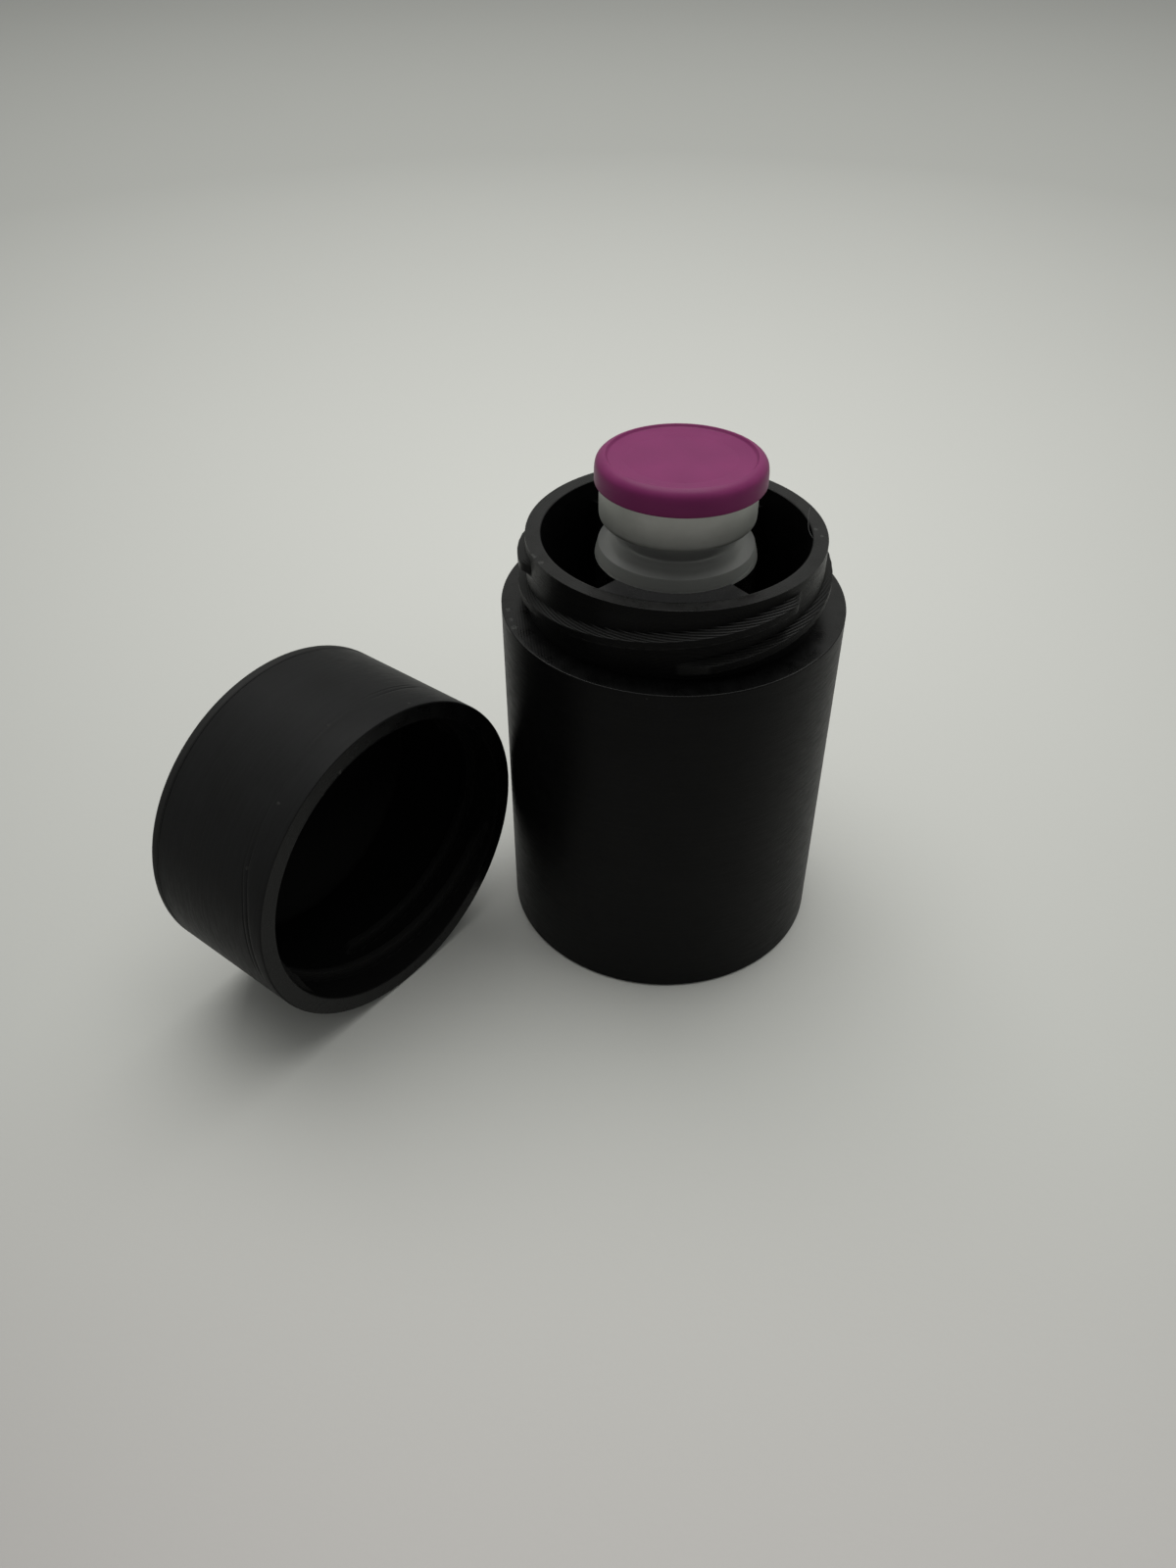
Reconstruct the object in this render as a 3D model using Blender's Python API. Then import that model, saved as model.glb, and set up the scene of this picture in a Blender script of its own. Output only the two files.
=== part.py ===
"""Round printed vial holder with its screw cap lying beside it and a sealed vial standing in it.

Metres, +Z up. The holder stands on z = 0 with its axis on the world Z axis; the front rib
faces -Y and the two finger pockets open towards -X and +X.
"""
import math

import bmesh
import bpy
from mathutils import Matrix, Vector

# Fits
GAP = 0.0003
VIAL_CLEARANCE = 0.00035
THREAD_CLEARANCE = 0.0004

# Holder
JAR_RADIUS = 0.0235
SHOULDER_HEIGHT = 0.054
SHOULDER_WIDTH = 0.00355
NECK_HEIGHT = 0.010
NECK_WALL = 0.00205
SEAT_DEPTH = 0.003
RIB_HALF_ANGLE = math.radians(42.2)
RIB_OVERLAP = 0.0008
BODY_CHAMFER = 0.0003
RIM_CHAMFER = 0.0002
JAR_SEGMENTS = 80

# Thread
THREAD_STARTS = 3
THREAD_LEAD = 0.0129
THREAD_DEPTH = 0.00108
THREAD_ROOT_WIDTH = 0.0025
THREAD_CREST_WIDTH = 0.00085
THREAD_ROOT_OVERLAP = 0.0006
JAR_THREAD_TOP = 0.0011
JAR_THREAD_END_ANGLE = math.radians(-37.5)
JAR_THREAD_START = 0.00025
THREAD_STEP = math.radians(4.5)

# Cap
CAP_WALL = 0.00257
CAP_LENGTH = 0.022
CAP_END_THICKNESS = 0.0015
CAP_END_CHAMFER = 0.0006
CAP_MOUTH_CHAMFER = 0.0004
CAP_THREAD_START_DEPTH = 0.0022
CAP_THREAD_TURN = math.radians(204)
CAP_THREAD_START_ANGLE = math.radians(-40)
CAP_AXIS_ANGLE = math.radians(-33.73)
CAP_CONTACT_ANGLE = math.radians(189.95)

# Vial glass
BODY_RADIUS = 0.011
GLASS_HEIGHT = 0.045
CROWN_ABOVE_SEAT = 0.0083
GLASS_WALL = 0.001
GLASS_FLOOR = 0.0012
FOOT_RADIUS = 0.0012
PUSH_UP = 0.0005
PUSH_UP_RADIUS = 0.0085
CROWN_RADIUS = 0.00975
CROWN_HEIGHT = 0.0022
CROWN_EDGE = 0.0003
NECK_GLASS_RADIUS = 0.0081
MOUTH_RADIUS = 0.0063
SHOULDER_EDGE_RADIUS = 0.0104
SHOULDER_EDGE_DROP = 0.00142
SHOULDER_ROOT_RADIUS = 0.0089
SHOULDER_ROOT_DROP = 0.0008
NECK_FILLET = 0.0006
VIAL_SEGMENTS = 48

# Stopper
STOPPER_FLANGE = 0.00245
STOPPER_INSET = 0.00015
STOPPER_PLUG_LENGTH = 0.006
STOPPER_CORE_RADIUS = 0.0036
STOPPER_WEB = 0.0011
STOPPER_CHAMFER = 0.0005
STOPPER_SEGMENTS = 40

# Seal
SEAL_WALL = 0.00025
SEAL_CLEARANCE = 0.00035
SEAL_TOP_ROUND = 0.0004
SEAL_BOTTOM_ROUND = 0.0005
SEAL_HOLE_RADIUS = 0.004
SEAL_LIP_RADIUS = 0.0089

# Button
BUTTON_SKIRT = 0.0005
BUTTON_HEIGHT = 0.0027
BUTTON_EDGE = 0.0012
BUTTON_FOOT_SLOPE = 0.00015
BUTTON_FOOT_RISE = 0.0003
BUTTON_RIM_WIDTH = 0.0003
BUTTON_RECESS = 0.00035
BUTTON_RECESS_SLOPE = 0.0007
BUTTON_WEB = 0.0009

# A round's middle point, as a share of the round
ARC_SHARE = 0.3

# Shading
SMOOTH_LIMIT = math.radians(32)

# Derived sizes
NECK_RADIUS = JAR_RADIUS - SHOULDER_WIDTH
BORE_RADIUS = NECK_RADIUS - NECK_WALL
RIM_HEIGHT = SHOULDER_HEIGHT + NECK_HEIGHT
SEAT_HEIGHT = RIM_HEIGHT - SEAT_DEPTH
RIB_HOLE_RADIUS = BODY_RADIUS + VIAL_CLEARANCE
CROWN_TOP = SEAT_HEIGHT + CROWN_ABOVE_SEAT
VIAL_BOTTOM = CROWN_TOP - GLASS_HEIGHT
POCKET_FLOOR = VIAL_BOTTOM - GAP
THREAD_CREST_RADIUS = NECK_RADIUS + THREAD_DEPTH
CAP_BORE_RADIUS = THREAD_CREST_RADIUS + THREAD_CLEARANCE
CAP_CREST_RADIUS = NECK_RADIUS + THREAD_CLEARANCE
CAP_RADIUS = CAP_BORE_RADIUS + CAP_WALL
STOPPER_FLANGE_RADIUS = CROWN_RADIUS - STOPPER_INSET
SEAL_RADIUS = CROWN_RADIUS + SEAL_CLEARANCE + SEAL_WALL
BUTTON_RADIUS = SEAL_RADIUS + GAP + BUTTON_SKIRT

MATERIALS = {
    "black_print": ((0.012, 0.012, 0.013, 1.0), 0.55, 0.0, 0.0),
    "clear_glass": ((0.80, 0.83, 0.83, 1.0), 0.06, 0.0, 0.9),
    "grey_rubber": ((0.16, 0.16, 0.165, 1.0), 0.7, 0.0, 0.0),
    "satin_aluminium": ((0.62, 0.63, 0.63, 1.0), 0.38, 1.0, 0.0),
    "purple_plastic": ((0.30, 0.07, 0.27, 1.0), 0.42, 0.0, 0.0),
}


def clear_scene():
    """Remove whatever the scene holds before the part is built."""
    for item in list(bpy.data.objects):
        bpy.data.objects.remove(item, do_unlink=True)


def material(name):
    """Return the named material, made on first use."""
    found = bpy.data.materials.get(name)
    if found:
        return found
    colour, roughness, metallic, transmission = MATERIALS[name]
    made = bpy.data.materials.new(name)
    made.use_nodes = True
    shader = made.node_tree.nodes["Principled BSDF"]
    shader.inputs["Base Color"].default_value = colour
    shader.inputs["Roughness"].default_value = roughness
    shader.inputs["Metallic"].default_value = metallic
    shader.inputs["Transmission Weight"].default_value = transmission
    made.diffuse_color = colour
    return made


def object_from(name, mesh_data, surface):
    """Link a mesh as a named object, smooth over its shallow edges."""
    bmesh.ops.recalc_face_normals(mesh_data, faces=mesh_data.faces)
    for face in mesh_data.faces:
        face.smooth = True
    mesh = bpy.data.meshes.new(name)
    mesh_data.to_mesh(mesh)
    mesh_data.free()
    mesh.set_sharp_from_angle(angle=SMOOTH_LIMIT)
    made = bpy.data.objects.new(name, mesh)
    made.data.materials.append(material(surface))
    bpy.context.scene.collection.objects.link(made)
    return made


def turned(name, profile, segments, surface, closed):
    """Turn a profile of (radius, height) points about Z; an open one starts and ends on the axis."""
    mesh_data = bmesh.new()
    half = math.pi / segments
    rings = []
    for radius, height in profile:
        if radius == 0:
            rings.append([mesh_data.verts.new((0, 0, height))])
            continue
        ring = []
        for index in range(segments):
            angle = half + index * half * 2
            ring.append(mesh_data.verts.new((radius * math.cos(angle), radius * math.sin(angle), height)))
        rings.append(ring)
    pairs = list(zip(rings, rings[1:]))
    if closed:
        pairs.append((rings[-1], rings[0]))
    for lower, upper in pairs:
        for index in range(segments):
            after = (index + 1) % segments
            corners = [lower[index % len(lower)], lower[after % len(lower)]]
            corners += [upper[after % len(upper)], upper[index % len(upper)]]
            mesh_data.faces.new(list(dict.fromkeys(corners)))
    return object_from(name, mesh_data, surface)


def swept(name, sections, surface):
    """Skin a run of matching closed sections and close its two ends."""
    mesh_data = bmesh.new()
    rings = [[mesh_data.verts.new(point) for point in section] for section in sections]
    count = len(rings[0])
    for first, second in zip(rings, rings[1:]):
        for index in range(count):
            after = (index + 1) % count
            mesh_data.faces.new((first[index], first[after], second[after], second[index]))
    mesh_data.faces.new(rings[0])
    mesh_data.faces.new(list(reversed(rings[-1])))
    return object_from(name, mesh_data, surface)


def joined(base, additions):
    """Fuse further solids into one body and drop the originals."""
    for addition in additions:
        fuse = base.modifiers.new("fuse_" + addition.name, "BOOLEAN")
        fuse.operation = "UNION"
        fuse.solver = "EXACT"
        fuse.object = addition
    graph = bpy.context.evaluated_depsgraph_get()
    result = bpy.data.meshes.new_from_object(base.evaluated_get(graph))
    base.modifiers.clear()
    former = base.data
    base.data = result
    result.name = former.name
    bpy.data.meshes.remove(former)
    for addition in additions:
        bpy.data.objects.remove(addition, do_unlink=True)
    base.data.set_sharp_from_angle(angle=SMOOTH_LIMIT)
    return base


def thread_ridge(name, root_radius, crest_radius, start_angle, start_height, turn):
    """One ridge of the thread, rising anticlockwise from its start, let into the wall behind it."""
    outward = math.copysign(1, crest_radius - root_radius)
    buried_radius = root_radius - outward * THREAD_ROOT_OVERLAP
    flank = (THREAD_ROOT_WIDTH - THREAD_CREST_WIDTH) / 2 / abs(crest_radius - root_radius)
    half_crest = THREAD_CREST_WIDTH / 2
    half_buried = half_crest + flank * abs(crest_radius - buried_radius)
    outline = [
        (buried_radius, -half_buried),
        (crest_radius, -half_crest),
        (crest_radius, half_crest),
        (buried_radius, half_buried),
    ]
    steps = math.ceil(turn / THREAD_STEP)
    sections = []
    for index in range(steps + 1):
        angle = start_angle + turn * index / steps
        height = start_height + THREAD_LEAD * turn * index / steps / (2 * math.pi)
        sections.append([(r * math.cos(angle), r * math.sin(angle), height + z) for r, z in outline])
    return swept(name, sections, "black_print")


def rib(name, centre_angle):
    """Block between the two finger pockets, with the vial's seat edge on its inner side."""
    steps = math.ceil(2 * RIB_HALF_ANGLE / THREAD_STEP)
    low = POCKET_FLOOR - RIB_OVERLAP
    outer = BORE_RADIUS + RIB_OVERLAP
    outline = [(RIB_HOLE_RADIUS, low), (outer, low), (outer, SEAT_HEIGHT), (RIB_HOLE_RADIUS, SEAT_HEIGHT)]
    sections = []
    for index in range(steps + 1):
        angle = centre_angle - RIB_HALF_ANGLE + 2 * RIB_HALF_ANGLE * index / steps
        sections.append([(r * math.cos(angle), r * math.sin(angle), z) for r, z in outline])
    return swept(name, sections, "black_print")


def build_jar():
    """The holder: a cup with a shoulder and a neck, two ribs inside and a thread outside."""
    profile = [
        (0, 0),
        (JAR_RADIUS - BODY_CHAMFER, 0),
        (JAR_RADIUS, BODY_CHAMFER),
        (JAR_RADIUS, SHOULDER_HEIGHT - BODY_CHAMFER),
        (JAR_RADIUS - BODY_CHAMFER, SHOULDER_HEIGHT),
        (NECK_RADIUS, SHOULDER_HEIGHT),
        (NECK_RADIUS, RIM_HEIGHT - RIM_CHAMFER),
        (NECK_RADIUS - RIM_CHAMFER, RIM_HEIGHT),
        (BORE_RADIUS + RIM_CHAMFER, RIM_HEIGHT),
        (BORE_RADIUS, RIM_HEIGHT - RIM_CHAMFER),
        (BORE_RADIUS, POCKET_FLOOR),
        (0, POCKET_FLOOR),
    ]
    jar = turned("holder_jar", profile, JAR_SEGMENTS, "black_print", closed=False)
    additions = [rib("front_rib", -math.pi / 2), rib("back_rib", math.pi / 2)]
    top = RIM_HEIGHT - JAR_THREAD_TOP - THREAD_ROOT_WIDTH / 2
    bottom = SHOULDER_HEIGHT + JAR_THREAD_START + THREAD_ROOT_WIDTH / 2
    turn = (top - bottom) / THREAD_LEAD * 2 * math.pi
    for index in range(THREAD_STARTS):
        end = JAR_THREAD_END_ANGLE + index * 2 * math.pi / THREAD_STARTS
        name = "jar_ridge_" + str(index + 1)
        additions.append(thread_ridge(name, NECK_RADIUS, THREAD_CREST_RADIUS, end - turn, bottom, turn))
    return joined(jar, additions)


def build_cap():
    """The screw cap, turned with its mouth at the origin and then laid on its side by the jar."""
    inner_end = CAP_LENGTH - CAP_END_THICKNESS
    profile = [
        (0, inner_end),
        (CAP_BORE_RADIUS, inner_end),
        (CAP_BORE_RADIUS, CAP_MOUTH_CHAMFER),
        (CAP_BORE_RADIUS + CAP_MOUTH_CHAMFER, 0),
        (CAP_RADIUS - RIM_CHAMFER, 0),
        (CAP_RADIUS, RIM_CHAMFER),
        (CAP_RADIUS, CAP_LENGTH - CAP_END_CHAMFER),
        (CAP_RADIUS - CAP_END_CHAMFER, CAP_LENGTH),
        (0, CAP_LENGTH),
    ]
    cap = turned("screw_cap", profile, JAR_SEGMENTS, "black_print", closed=False)
    ridges = []
    for index in range(THREAD_STARTS):
        start = CAP_THREAD_START_ANGLE + index * 2 * math.pi / THREAD_STARTS
        name = "cap_ridge_" + str(index + 1)
        depth = CAP_THREAD_START_DEPTH
        ridges.append(thread_ridge(name, CAP_BORE_RADIUS, CAP_CREST_RADIUS, start, depth, CAP_THREAD_TURN))
    joined(cap, ridges)
    inward = Vector((-math.cos(CAP_AXIS_ANGLE), -math.sin(CAP_AXIS_ANGLE), 0))
    upward = Vector((0, 0, 1))
    across = upward.cross(inward)
    turn = Matrix((across, upward, inward)).transposed().to_4x4()
    contact = Vector((math.cos(CAP_CONTACT_ANGLE), math.sin(CAP_CONTACT_ANGLE), 0))
    mouth = contact * (JAR_RADIUS + GAP) + across * CAP_RADIUS
    mouth.z = CAP_RADIUS * math.cos(math.pi / JAR_SEGMENTS)
    cap.matrix_world = Matrix.Translation(mouth) @ turn
    return cap


def build_glass():
    """The vial: body, stepped shoulder, neck and crown, hollow and open at its mouth."""
    outer_edge = SEAT_HEIGHT
    shoulder_edge = RIM_HEIGHT - SHOULDER_EDGE_DROP
    shoulder_root = RIM_HEIGHT - SHOULDER_ROOT_DROP
    crown_bottom = CROWN_TOP - CROWN_HEIGHT
    inner_radius = BODY_RADIUS - GLASS_WALL
    inner_floor = VIAL_BOTTOM + GLASS_FLOOR
    profile = [
        (0, VIAL_BOTTOM + PUSH_UP),
        (PUSH_UP_RADIUS - PUSH_UP, VIAL_BOTTOM + PUSH_UP),
        (PUSH_UP_RADIUS, VIAL_BOTTOM),
        (BODY_RADIUS - FOOT_RADIUS, VIAL_BOTTOM),
        (BODY_RADIUS - FOOT_RADIUS * ARC_SHARE, VIAL_BOTTOM + FOOT_RADIUS * ARC_SHARE),
        (BODY_RADIUS, VIAL_BOTTOM + FOOT_RADIUS),
        (BODY_RADIUS, outer_edge),
        (SHOULDER_EDGE_RADIUS, shoulder_edge),
        (SHOULDER_ROOT_RADIUS, shoulder_root),
        (NECK_GLASS_RADIUS, shoulder_root + NECK_FILLET),
        (NECK_GLASS_RADIUS, crown_bottom - NECK_FILLET),
        (NECK_GLASS_RADIUS + NECK_FILLET, crown_bottom),
        (CROWN_RADIUS, crown_bottom + CROWN_EDGE),
        (CROWN_RADIUS, CROWN_TOP - CROWN_EDGE),
        (CROWN_RADIUS - CROWN_EDGE, CROWN_TOP),
        (MOUTH_RADIUS + CROWN_EDGE, CROWN_TOP),
        (MOUTH_RADIUS, CROWN_TOP - CROWN_EDGE),
        (MOUTH_RADIUS, shoulder_root),
        (SHOULDER_ROOT_RADIUS, shoulder_edge - GLASS_WALL),
        (inner_radius, outer_edge - GLASS_WALL),
        (inner_radius, inner_floor + FOOT_RADIUS),
        (inner_radius - FOOT_RADIUS, inner_floor),
        (0, inner_floor),
    ]
    return turned("vial_glass", profile, VIAL_SEGMENTS, "clear_glass", closed=False)


def build_stopper():
    """Rubber stopper: a flange over the crown and a hollow plug down the neck."""
    bottom = CROWN_TOP + GAP
    top = bottom + STOPPER_FLANGE
    plug_radius = MOUTH_RADIUS - GAP
    plug_bottom = bottom - STOPPER_PLUG_LENGTH
    core_top = bottom - STOPPER_WEB
    profile = [
        (0, core_top),
        (STOPPER_CORE_RADIUS - STOPPER_CHAMFER, core_top),
        (STOPPER_CORE_RADIUS, core_top - STOPPER_CHAMFER),
        (STOPPER_CORE_RADIUS, plug_bottom),
        (plug_radius - STOPPER_CHAMFER, plug_bottom),
        (plug_radius, plug_bottom + STOPPER_CHAMFER),
        (plug_radius, bottom),
        (STOPPER_FLANGE_RADIUS - STOPPER_CHAMFER, bottom),
        (STOPPER_FLANGE_RADIUS, bottom + STOPPER_CHAMFER),
        (STOPPER_FLANGE_RADIUS, top - STOPPER_CHAMFER),
        (STOPPER_FLANGE_RADIUS - STOPPER_CHAMFER, top),
        (0, top),
    ]
    return turned("stopper", profile, STOPPER_SEGMENTS, "grey_rubber", closed=False)


def seal_top():
    """Height of the seal's flat top over the stopper."""
    return CROWN_TOP + GAP + STOPPER_FLANGE + GAP + SEAL_WALL


def build_seal():
    """Aluminium seal: flat top with a centre hole, skirt, and an edge rolled under the crown."""
    top = seal_top()
    inner_top = top - SEAL_WALL
    inner_radius = SEAL_RADIUS - SEAL_WALL
    lip_top = CROWN_TOP - CROWN_HEIGHT - GAP
    lip_bottom = lip_top - SEAL_WALL
    profile = [
        (SEAL_HOLE_RADIUS, inner_top),
        (SEAL_HOLE_RADIUS, top),
        (SEAL_RADIUS - SEAL_TOP_ROUND, top),
        (SEAL_RADIUS, top - SEAL_TOP_ROUND),
        (SEAL_RADIUS, lip_bottom + SEAL_BOTTOM_ROUND),
        (SEAL_RADIUS - SEAL_BOTTOM_ROUND * ARC_SHARE, lip_bottom + SEAL_BOTTOM_ROUND * ARC_SHARE),
        (SEAL_RADIUS - SEAL_BOTTOM_ROUND, lip_bottom),
        (SEAL_LIP_RADIUS, lip_bottom),
        (SEAL_LIP_RADIUS, lip_top),
        (inner_radius - SEAL_BOTTOM_ROUND, lip_top),
        (inner_radius, lip_top + SEAL_BOTTOM_ROUND),
        (inner_radius, inner_top - SEAL_TOP_ROUND),
        (inner_radius - SEAL_TOP_ROUND, inner_top),
    ]
    return turned("crimp_seal", profile, VIAL_SEGMENTS, "satin_aluminium", closed=True)


def build_button():
    """Flip-off button: raised rim round a flat recess, and a thin skirt round the seal's edge."""
    web_bottom = seal_top() + GAP
    web_top = web_bottom + BUTTON_WEB
    top = web_top + BUTTON_RECESS
    bottom = top - BUTTON_HEIGHT
    skirt_radius = SEAL_RADIUS + GAP
    rim_inner = BUTTON_RADIUS - BUTTON_EDGE - BUTTON_RIM_WIDTH
    profile = [
        (0, web_bottom),
        (skirt_radius, web_bottom),
        (skirt_radius, bottom),
        (BUTTON_RADIUS - BUTTON_FOOT_SLOPE, bottom),
        (BUTTON_RADIUS, bottom + BUTTON_FOOT_RISE),
        (BUTTON_RADIUS, top - BUTTON_EDGE),
        (BUTTON_RADIUS - BUTTON_EDGE * ARC_SHARE, top - BUTTON_EDGE * ARC_SHARE),
        (BUTTON_RADIUS - BUTTON_EDGE, top),
        (rim_inner, top),
        (rim_inner - BUTTON_RECESS_SLOPE, web_top),
        (0, web_top),
    ]
    return turned("flip_button", profile, VIAL_SEGMENTS, "purple_plastic", closed=False)


clear_scene()
build_jar()
build_cap()
build_glass()
build_stopper()
build_seal()
build_button()
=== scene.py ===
"""Dressed vial holder: a printed holder and its screw cap, with a sealed vial standing in it.

Metres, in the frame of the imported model: the holder's axis is Z and it stands on z = 0.
"""
import math

import bmesh
import bpy
import numpy as np
from mathutils import Matrix, Vector


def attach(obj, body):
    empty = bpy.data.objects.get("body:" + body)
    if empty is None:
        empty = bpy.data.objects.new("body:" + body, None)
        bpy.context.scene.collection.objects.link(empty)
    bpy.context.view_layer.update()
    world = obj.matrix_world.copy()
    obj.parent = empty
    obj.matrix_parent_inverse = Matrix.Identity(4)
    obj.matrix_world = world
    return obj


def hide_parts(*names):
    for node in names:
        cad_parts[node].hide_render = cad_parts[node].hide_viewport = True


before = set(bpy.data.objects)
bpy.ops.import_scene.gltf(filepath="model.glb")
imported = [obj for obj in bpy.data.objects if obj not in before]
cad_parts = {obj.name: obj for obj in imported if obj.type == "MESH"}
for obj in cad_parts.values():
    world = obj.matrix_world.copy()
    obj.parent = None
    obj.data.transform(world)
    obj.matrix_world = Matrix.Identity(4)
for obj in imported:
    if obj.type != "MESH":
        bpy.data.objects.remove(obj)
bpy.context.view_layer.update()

TAU = 2 * math.pi
MM = 0.001
GAP = 0.3 * MM

# Printing
LAYER = 0.2 * MM
LINE = 0.4 * MM
LINE_GROOVE = 0.005 * MM
LINE_EDGE_SHARE = 0.14
LAYER_GROOVE = 0.008 * MM
LAYER_WOBBLE = 0.008 * MM
BEAD_ROUND = 0.006 * MM
BEAD_REACH = 0.4 * MM
# Each bead's rings: share of the layer's height, share of the rounding there
JAR_BEAD = ((0.2, 0.0), (0.6, 0.0), (0.84, 0.3), (0.97, 0.85))
CAP_BEAD = ((0.3, 0.0), (0.9, 0.6))
JAR_SEED = 11
CAP_SEED = 23
INFILL_ANGLE = math.radians(-79)
INFILL_PITCH = 0.38 * MM

# Mesh
COLUMNS = 240
JUMP = math.radians(0.02)
CLEAR_OF_JUMP = math.radians(0.3)
SEGMENTS = 144
SHARP_ANGLE = math.radians(38)

# Holder
JAR_RADIUS = 23.5 * MM
SHOULDER_Z = 54 * MM
RIM_Z = 64 * MM
SEAT_Z = 61 * MM
POCKET_FLOOR_Z = 24 * MM
NECK_RADIUS = 19.95 * MM
BORE_RADIUS = 17.9 * MM
HOLE_RADIUS = 11 * MM
RIB_HALF_ANGLE = math.radians(42.2)
# A rib's edge, from outside the rib to inside it: turn past the edge, radius of the hole there
RIB_EDGE = (
    (math.radians(-0.96), BORE_RADIUS),
    (math.radians(-0.4), BORE_RADIUS - 0.07 * MM),
    (-JUMP / 2, BORE_RADIUS - 0.3 * MM),
    (JUMP / 2, HOLE_RADIUS + 0.3 * MM),
    (math.radians(0.5), HOLE_RADIUS + 0.07 * MM),
    (math.radians(1.5), HOLE_RADIUS),
)

# Thread
LEAD = 12.9 * MM
THREAD_DEPTH = 1.08 * MM
ROOT_WIDTH = 2.5 * MM
CREST_WIDTH = 1.05 * MM
END_TAPER = math.radians(5)
START_TAPER = math.radians(13)
JAR_THREAD_ENDS = [math.radians(-37.5 + 120 * k) for k in range(3)]
JAR_THREAD_END_Z = RIM_Z - 1.1 * MM - ROOT_WIDTH / 2
JAR_THREAD_START_Z = SHOULDER_Z + 0.25 * MM + ROOT_WIDTH / 2
JAR_THREAD_TURN = (JAR_THREAD_END_Z - JAR_THREAD_START_Z) / LEAD * TAU

# Cap
CAP_RADIUS = 24 * MM
CAP_LENGTH = 22 * MM
CAP_INNER_LENGTH = 20.5 * MM
CAP_BORE_RADIUS = 21.43 * MM
CAP_THREAD_TURN = math.radians(204)
CAP_THREAD_START_Z = 2.2 * MM
CAP_THREAD_ENDS = [math.radians(-40 + 204 + 120 * k) for k in range(3)]
CAP_AXIS_ANGLE = math.radians(-33.73)
CAP_CONTACT_ANGLE = math.radians(189.95)
# Rings near the closed end, each (inwards, down) in millimetres: its edge, then a faint groove
CAP_END_RINGS = ((0.2, 0.03), (0.04, 0.16), (0.0, 0.26), (0.0, 0.4))
CAP_GROOVE_RINGS = ((0.0, 1.22), (0.045, 1.3), (0.045, 1.36), (0.0, 1.46), (0.0, 1.65))
CAP_BAND = 1.25 * MM
# The sunken lines round the wall near the mouth: degrees, millimetres from the mouth, strength
GHOST_ANGLES = (-15, -3, 5, 20, 30, 60, 98, 104, 117, 125, 180, 270)
GHOST_DEPTHS = (1.5, 1.64, 1.92, 2.67, 3.6, 4.4, 4.95, 5.0, 5.1, 5.1, 4.5, 2.5)
GHOST_SHARES = (0, 1, 1, 1, 0.7, 0.2, 0.4, 1.0, 1.0, 0, 0, 0)
GHOST_SINK = 0.08 * MM
# Rings across both lines: millimetres off the first one, share of the sink
GHOST_RINGS = (
    (1.05, 0), (0.92, 0), (0.8, 0.8), (0.67, 0), (0.13, 0), (0, 1), (-0.13, 0), (-0.5, 0),
)

# Vial
CROWN_TOP_Z = SEAT_Z + 8.3 * MM
CROWN_RADIUS = 9.75 * MM
CROWN_HEIGHT = 2.5 * MM
GLASS_RADIUS = 10.75 * MM
GLASS_WALL = 1 * MM
GLASS_NECK_RADIUS = 8.1 * MM
GLASS_MOUTH_RADIUS = 6.3 * MM
GLASS_BOTTOM_Z = CROWN_TOP_Z - 45 * MM
# The hazy glass, and its painted glow, start just below the seat.
HAZE_BOTTOM_Z = SEAT_Z - 0.3 * MM
FLANGE = 2.45 * MM
FLANGE_RADIUS = 9.6 * MM
PLUG_RADIUS = 6 * MM
PLUG_CORE_RADIUS = 3.6 * MM
SEAL_RADIUS = 10.33 * MM
SEAL_LIP_RADIUS = 8.9 * MM
SEAL_HOLE_RADIUS = 4 * MM
SEAL_WALL = 0.25 * MM
SEAL_TOP_Z = CROWN_TOP_Z + GAP + FLANGE + GAP + SEAL_WALL
VIAL_SHIFT = 0.1 * MM

# Button
BUTTON_RADIUS = 11.16 * MM
BUTTON_BORE_RADIUS = 10.65 * MM
BUTTON_SHIFT = 0.3 * MM
BUTTON_TILT = math.radians(-1.75)
# Rounding of its upper edge, from below: millimetres down from the top, millimetres inwards
BUTTON_EDGE = (
    (1.9, 0.01), (1.6, 0.03), (1.35, 0.06), (1.1, 0.105), (0.9, 0.165), (0.72, 0.26),
    (0.56, 0.38), (0.38, 0.56), (0.22, 0.78), (0.1, 1.03), (0.03, 1.25), (0, 1.38),
)

# A string of plastic on the holder's rim, in millimetres
STRING_PLACES = (
    (17.98, 7.4, 64.04), (17.66, 5.2, 64.1), (17.5, 3.3, 64.12), (17.46, 0.9, 64.06),
    (17.8, -0.9, 64.02),
)

# Bump depths
LAYER_BUMP = 0.004 * MM
CHANCE_BUMP = 0.003 * MM
STREAK_BUMP = 0.007 * MM
GRAIN_BUMP = 0.010 * MM
INFILL_BUMP = 0.010 * MM
CLOUD_BUMP = 0.010 * MM
FLAT_GRAIN_BUMP = 0.012 * MM
SCUFF_BUMP = 0.06 * MM

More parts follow.
